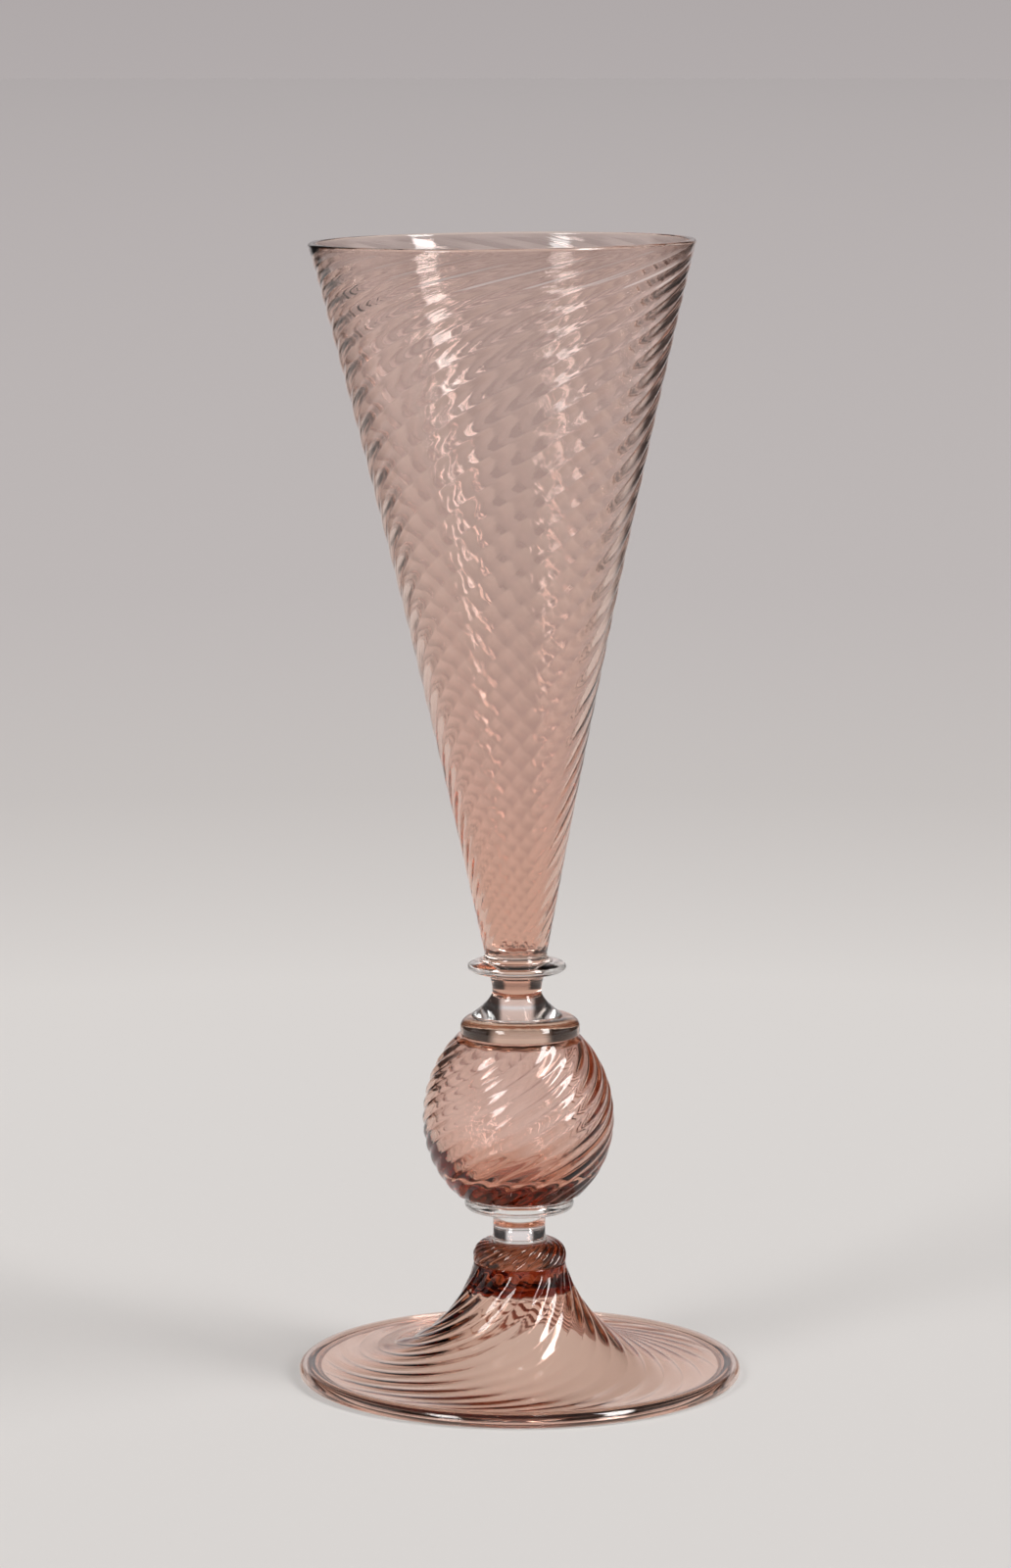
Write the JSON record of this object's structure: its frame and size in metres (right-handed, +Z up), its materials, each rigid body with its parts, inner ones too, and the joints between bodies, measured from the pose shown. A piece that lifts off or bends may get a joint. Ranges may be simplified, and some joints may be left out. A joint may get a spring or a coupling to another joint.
{
  "type": "stemmed glass",
  "caption": "Tall stemmed glass: a slender trumpet bowl with twisted ribs on a stem of clear spools, collars and a hollow ball knop, above a ribbed trumpet foot with a folded rim.",
  "frame": {"origin": "centre of the ring that the foot stands on, on the surface below", "axes": "+Z up along the stem; +X to the right when the glass is seen as in the picture, from the -Y side"},
  "size_m": [0.1092, 0.1092, 0.2805],
  "materials": {
    "rose_glass": "fire-polished, ribbed",
    "deep_rose_glass": "fire-polished, thick",
    "clear_glass": "fire-polished"
  },
  "bodies": {
    "root": {"foot": "rose_glass", "foot_collar": "deep_rose_glass", "lower_spool": "clear_glass", "knop": "rose_glass", "knop_collar": "deep_rose_glass", "upper_spool": "clear_glass", "bowl_button": "deep_rose_glass", "bowl": "rose_glass"}
  },
  "joints": []
}
